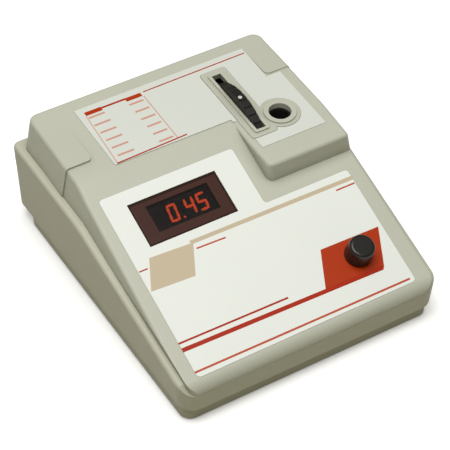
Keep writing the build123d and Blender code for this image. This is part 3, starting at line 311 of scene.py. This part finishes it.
printed_bar, bar_in, bar_out = new_group(
    "printed_bar",
    [("Colour", "colour", (1, 1, 1, 1)), ("Ink", "colour", (0.4, 0.05, 0.02, 1)),
     ("Left", "value", 0.0), ("Right", "value", 0.1), ("Low", "value", 0.0), ("High", "value", 0.1),
     ("Slant", "value", 0.0), ("Rise", "value", 0.0)],
    [("Colour", "colour"), ("Mask", "value")],
)
bar_axes = printed_bar.nodes.new("ShaderNodeSeparateXYZ")
printed_bar.links.new(
    printed_bar.nodes.new("ShaderNodeTexCoord").outputs["Object"], bar_axes.inputs[0])
from_low = number(printed_bar, "SUBTRACT", bar_axes.outputs["Y"], bar_in["Low"])
shear = number(printed_bar, "MULTIPLY", from_low, bar_in["Slant"])
across = number(printed_bar, "SUBTRACT", bar_axes.outputs["X"], shear)
from_left = number(printed_bar, "SUBTRACT", bar_axes.outputs["X"], bar_in["Left"])
tilt = number(printed_bar, "MULTIPLY", from_left, bar_in["Rise"])
along = number(printed_bar, "SUBTRACT", bar_axes.outputs["Y"], tilt)
bar_mask = 1.0
bar_sides = ((across, "Left", 1), (across, "Right", -1), (along, "Low", 1), (along, "High", -1))
for place, side, sign in bar_sides:
    inside = number(printed_bar, "SUBTRACT", place, bar_in[side])
    inside = number(printed_bar, "MULTIPLY", inside, sign * ink_sharpness)
    inside = number(printed_bar, "ADD", inside, 0.5)
    inside = number(printed_bar, "MAXIMUM", inside, 0.0)
    inside = number(printed_bar, "MINIMUM", inside, 1.0)
    bar_mask = number(printed_bar, "MULTIPLY", inside, bar_mask)
inked = blend_colour(printed_bar, bar_mask, bar_in["Colour"], bar_in["Ink"])
printed_bar.links.new(inked, bar_out["Colour"])
printed_bar.links.new(bar_mask, bar_out["Mask"])


def new_bar(tree, left, right, low, high, slant=0.0, rise=0.0):
    """Bar between its edges in mm; low and high are measured back from the front edge."""
    bar = tree.nodes.new("ShaderNodeGroup")
    bar.node_tree = printed_bar
    bar.inputs["Left"].default_value = left / 1000
    bar.inputs["Right"].default_value = right / 1000
    bar.inputs["Low"].default_value = (low - front_edge) / 1000
    bar.inputs["High"].default_value = (high - front_edge) / 1000
    bar.inputs["Slant"].default_value = slant
    bar.inputs["Rise"].default_value = rise
    return bar


def print_on(made, skin, bars):
    """Screen-print bars on a film, each given as its ink and its edges, slant and rise."""
    tree = made.node_tree
    below = skin.inputs["Colour"].default_value[:]
    for ink, *edges in bars:
        bar = new_bar(tree, *edges)
        feed(tree, bar.inputs["Colour"], below)
        bar.inputs["Ink"].default_value = ink
        below = bar.outputs["Colour"]
    tree.links.new(below, skin.inputs["Colour"])


film_looks = {"roughness": 0.42, "mottle": 0.03, "grain": 700.0, "bump": 0.000012, "shine": 0.2}
ink_tan = shade(200, 184, 157)
ink_orange = shade(176, 52, 4)
ink_red = shade(172, 38, 2)
ink_faint = shade(190, 84, 58)
ink_faded = shade(206, 152, 136)

front_film, _, front_grain = dress(["front_label"], "front_film", shade(234, 237, 231), **film_looks)
print_on(front_film, front_grain, [
    (ink_tan, -48.0, 92.0, 93.0, 96.0, 0.0, -0.01),
    (ink_tan, -92.3, -56.2, 73.2, 96.2, 0.5, -0.05),
    (ink_red, -92.9, -85.8, 88.6, 89.6),
    (ink_faint, -46.0, -22.0, 88.4, 89.6, 0.0, -0.03),
    (ink_faint, 73.5, 90.0, 88.2, 89.4),
    (ink_orange, 23.9, 74.4, 25.0, 54.0, 0.47, -0.02),
    (ink_red, -94.0, 73.0, 26.2, 29.3, 0.0, -0.02),
    (ink_red, -94.0, -4.0, 32.2, 33.6, 0.0, -0.012),
    (ink_faint, -94.0, 87.0, 9.9, 11.4, 0.0, -0.006),
])


# Plateau overlay
# The same printed film on the rear plateau, coloured darker than on the front as painted shade: a ruled
# blank table at the left, with a header and two columns of faded dashes, and one thin rule along the
# rear.
table_rows = 6
table_pitch = 9
dash_height = 1.8

# Painted shade: this film is given a darker colour than the same film on the front panel
plateau_film_shaded, _, plateau_grain = dress(
    ["plateau_label"], "plateau_film_shaded", shade(216, 219, 211), **film_looks)
table_dashes = [
    (ink_faded, left, right, first - table_pitch * row, first - table_pitch * row + dash_height)
    for left, right, first in ((-61.5, -48.0, 219.6), (-28.0, -16.0, 217.6))
    for row in range(table_rows)
]
print_on(plateau_film_shaded, plateau_grain, [
    *table_dashes,
    (ink_orange, -62.0, -48.0, 223.4, 227.4),
    (ink_red, -48.0, -27.0, 225.0, 226.8),
    (ink_orange, -28.0, -14.5, 222.6, 226.6),
    (ink_red, -12.0, 78.0, 225.7, 226.8, 0.0, 0.01),
    (ink_faded, -65.9, -65.2, 167.6, 223.0, 0.06),
    (ink_faded, -14.2, -13.4, 170.5, 222.0),
    (ink_red, -65.8, -6.0, 168.0, 169.3, 0.0, 0.03),
])


# Display window
# A smoked red acrylic pane let into the panel. Its back is painted dark around the clear part, through
# which the lit displays show.
clear_field = (-64.0, -13.0, 110.3, 131.0)
clear_depth = 0.55
edge_paint = shade(44, 20, 17)
smoke_tint = shade(26, 24, 24)

window_pane, window_shader, window_grain = dress(
    ["display_window"], "window_pane", shade(70, 42, 38),
    roughness=0.12, mottle=0.04, grain=300.0, bump=0.0, coat=0.5)
print_on(window_pane, window_grain, [
    (edge_paint, -77.0, -74.6, 100.0, 140.0),
    (edge_paint, -4.3, -2.0, 100.0, 140.0),
    (edge_paint, -77.0, -2.0, 100.0, 104.2),
    (edge_paint, -77.0, -2.0, 134.6, 140.0),
    (smoke_tint, *clear_field),
])
window_tree = window_pane.node_tree
window_clear = new_bar(window_tree, *clear_field).outputs["Mask"]
window_alpha = number(window_tree, "MULTIPLY", window_clear, -clear_depth)
window_alpha = number(window_tree, "ADD", window_alpha, 1.0)
window_tree.links.new(window_alpha, window_shader["Alpha"])


# Displays
# Four seven-segment modules in dark red resin, soldered to a small green board. Three are lit and
# read a plain number.
panel_slope = math.radians(21.3)
panel_height = 0.038
digit_tall = 12.6
digit_wide = 5.8
digit_row = 129.0
digit_lean = 0.12
digit_sink = 2.3
stroke = 2.3
stroke_overlap = 0.5
dot_place = (-40.2, 122.6, 0)
dot_radius = 0.9
lit_thickness = 0.00008

dress(["display_digits"], "module_resin", shade(30, 12, 10),
      roughness=0.35, mottle=0.05, grain=500.0, bump=0.00001)

# Middle of each stroke, and whether it stands upright; then each digit's place and lit strokes
strokes = {
    "a": (0, digit_tall / 2, False),
    "b": (digit_wide / 2, digit_tall / 4, True),
    "c": (digit_wide / 2, -digit_tall / 4, True),
    "d": (0, -digit_tall / 2, False),
    "e": (-digit_wide / 2, -digit_tall / 4, True),
    "f": (-digit_wide / 2, digit_tall / 4, True),
    "g": (0, 0, False),
}
lit_digits = ((-46.6, "abcdef"), (-32.4, "bcfg"), (-22.4, "acdfg"))
lean = Matrix.Identity(4)
lean[0][1] = digit_lean
lit_shape = bmesh.new()
for digit_x, lit in lit_digits:
    for letter in lit:
        x, y, upright = strokes[letter]
        half = (digit_tall / 2 if upright else digit_wide) / 2 + stroke_overlap
        ring = bmesh.ops.create_circle(lit_shape, cap_ends=True, segments=6, radius=stroke / 2)["verts"]
        for corner in ring:
            if abs(corner.co.x) > 0.01:
                corner.co.x += math.copysign(half - stroke / 2, corner.co.x)
        spin = Matrix.Rotation(math.pi / 2 if upright else 0, 4, "Z")
        place = Matrix.Translation((digit_x, digit_row, 0)) @ lean @ Matrix.Translation((x, y, 0)) @ spin
        bmesh.ops.transform(lit_shape, matrix=place, verts=ring)
dot = bmesh.ops.create_circle(lit_shape, cap_ends=True, segments=12, radius=dot_radius)["verts"]
bmesh.ops.translate(lit_shape, vec=dot_place, verts=dot)
bmesh.ops.translate(lit_shape, vec=(0, 0, -digit_sink), verts=lit_shape.verts)
bmesh.ops.scale(lit_shape, vec=(0.001, 0.001, 0.001), verts=lit_shape.verts)
panel_foot = Matrix.Translation((0, -front_edge / 1000, panel_height))
panel_place = panel_foot @ Matrix.Rotation(panel_slope, 4, "X")
bmesh.ops.transform(lit_shape, matrix=panel_place, verts=lit_shape.verts)
bmesh.ops.solidify(lit_shape, geom=lit_shape.faces, thickness=lit_thickness)
bmesh.ops.recalc_face_normals(lit_shape, faces=lit_shape.faces)
lit_mesh = bpy.data.meshes.new("lit_segments")
lit_shape.to_mesh(lit_mesh)
lit_shape.free()
lit_segments = bpy.data.objects.new("lit_segments", lit_mesh)
bpy.context.scene.collection.objects.link(lit_segments)
lit_resin, lit_shader, _ = finish("lit_resin", shade(225, 60, 25), roughness=0.4, mottle=0.1)
lit_shader["Emission Color"].default_value = shade(240, 84, 36)
lit_shader["Emission Strength"].default_value = 1.3
lit_mesh.materials.append(lit_resin)
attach(lit_segments, "housing")


# Filter wheel
# A black moulded disc with scalloped grips and a white dot on its rim, which carries eight round
# coloured glass filters and turns on a brass bush.
dot_on_rim = (0.0446, 0.0480, 0.1113)
rim_dot_radius = 0.0016
axle_y = 0.05145
axle_z = 0.0655
first_filter = math.radians(12.4)
filter_tints = [(150, 60, 190), (60, 70, 200), (40, 130, 200), (30, 150, 110),
                (90, 170, 60), (220, 200, 50), (225, 130, 40), (200, 50, 40)]

wheel_black, wheel_shader, wheel_grain = dress(
    ["filter_wheel"], "wheel_black", shade(34, 31, 28),
    roughness=0.5, mottle=0.1, grain=900.0, bump=0.00003, wear=0.3, shine=0.3)
wheel_tree = wheel_black.node_tree
rim_near = wheel_tree.nodes.new("ShaderNodeVectorMath")
rim_near.operation = "DISTANCE"
rim_near.inputs[1].default_value = dot_on_rim
wheel_tree.links.new(wheel_tree.nodes.new("ShaderNodeTexCoord").outputs["Object"], rim_near.inputs[0])
rim_dot = number(wheel_tree, "LESS_THAN", rim_near.outputs["Value"], rim_dot_radius)
rim_ink = blend_colour(wheel_tree, rim_dot, wheel_grain.outputs["Colour"], shade(205, 203, 196))
wheel_tree.links.new(rim_ink, wheel_shader["Base Color"])

filter_glass, _, filter_grain = dress(
    ["colour_filters"], "filter_glass", shade(70, 110, 190), roughness=0.08, mottle=0.03, bump=0.0)
filter_tree = filter_glass.node_tree
filter_axes = filter_tree.nodes.new("ShaderNodeSeparateXYZ")
filter_tree.links.new(
    filter_tree.nodes.new("ShaderNodeTexCoord").outputs["Object"], filter_axes.inputs[0])
filter_out = number(filter_tree, "SUBTRACT", filter_axes.outputs["Y"], axle_y)
filter_up = number(filter_tree, "SUBTRACT", filter_axes.outputs["Z"], axle_z)
# The angle about the axle as a part of a turn from 0 to 1, and a tint for each eighth
filter_turn = number(filter_tree, "ARCTAN2", filter_up, filter_out)
filter_turn = number(filter_tree, "SUBTRACT", filter_turn, first_filter)
filter_turn = number(filter_tree, "DIVIDE", filter_turn, 2 * math.pi)
filter_turn = number(filter_tree, "ADD", filter_turn, 1.5)
filter_turn = number(filter_tree, "FRACT", filter_turn, 0.0)
filter_set = filter_tree.nodes.new("ShaderNodeValToRGB")
filter_set.color_ramp.interpolation = "CONSTANT"
stops = filter_set.color_ramp.elements
for eighth, tint in enumerate(filter_tints):
    stop = stops[eighth] if eighth < 2 else stops.new(eighth / 8)
    stop.position = eighth / 8
    stop.color = shade(*tint)
filter_tree.links.new(filter_turn, filter_set.inputs[0])
filter_tree.links.new(filter_set.outputs["Color"], filter_grain.inputs["Colour"])


# Set knob
# A black moulded knob with a fluted skirt and a softly crowned top, held on the shaft by a grub screw.
dress(["set_knob"], "knob_black", shade(30, 27, 25),
      roughness=0.3, mottle=0.1, grain=900.0, bump=0.00002, wear=0.4, shine=0.4)


# Rear panel and mains fittings
# A grey anodised plate screwed into the rear bay. It carries a black appliance inlet, a fuse holder
# with a bayonet cap, and a rocker switch.
dress(["rear_panel"], "panel_grey", shade(150, 151, 150),
      roughness=0.4, metallic=0.7, mottle=0.05, grain=2000.0)
dress(["mains_inlet", "fuse_holder", "fuse_cap", "switch_frame", "power_rocker"],
      "fitting_black", shade(30, 30, 31),
      roughness=0.35, mottle=0.08, grain=1200.0, bump=0.00001, wear=0.3)


# Screws, pins, springs and other small metal
# Zinc-plated pan-head screws, turned pins and clips, pressed cans and brackets, and brass contacts.
dress(["case_screws", "board_screws", "bench_screws", "display_screws", "panel_screws", "inlet_screws",
       "bracket_screws", "well_screws", "knob_screw", "rocker_pin", "filter_axle", "axle_clips",
       "detent_spring", "potentiometer", "pot_nut", "photocell", "transformer_bracket"],
      "plated", shade(190, 190, 188),
      roughness=0.3, metallic=1.0, mottle=0.08, grain=3000.0, bump=0.000005)
dress(["inlet_pins", "wheel_bush", "pot_shaft"], "brass", shade(200, 170, 105),
      roughness=0.32, metallic=1.0, mottle=0.1, grain=3000.0, bump=0.000005)


# Rubber feet
# Four black rubber pads pushed into recesses in the floor.
dress(["rubber_feet"], "foot_rubber", shade(32, 32, 32),
      roughness=0.85, mottle=0.15, grain=1500.0, bump=0.00006)


# Light path and inner parts
# A folded aluminium bench carries the black anodised sample well, the lamp, the lens and the
# photocell. The green boards, their components and the transformer fill the rest.
dress(["optical_bench"], "bench_metal", shade(178, 179, 180),
      roughness=0.42, metallic=1.0, mottle=0.08, grain=2500.0)
dress(["sample_well", "heatsink"], "well_black", shade(40, 38, 38),
      roughness=0.5, metallic=0.3, mottle=0.1, grain=2000.0)
dress(["lamp_holder", "lens_holder", "photocell_holder", "driver_chip", "op_amp_chips", "regulator"],
      "holder_black", shade(34, 34, 35), roughness=0.6, mottle=0.1, grain=1500.0)
_, clear_shader, _ = dress(
    ["condenser_lens", "lamp_bulb", "mains_fuse"], "clear_glass", shade(225, 235, 235),
    roughness=0.05, mottle=0.02, bump=0.0)
clear_shader["Transmission Weight"].default_value = 0.85
dress(["main_board", "display_board"], "board_green", shade(30, 92, 52),
      roughness=0.35, mottle=0.2, grain=400.0, bump=0.00002)
dress(["capacitors"], "sleeve_blue", shade(30, 50, 110), roughness=0.35, mottle=0.08)
dress(["transformer_core"], "core_varnish", shade(70, 66, 62),
      roughness=0.5, metallic=0.4, mottle=0.2, grain=600.0)
dress(["transformer_winding"], "winding_tape", shade(200, 165, 60),
      roughness=0.4, mottle=0.12, grain=300.0)
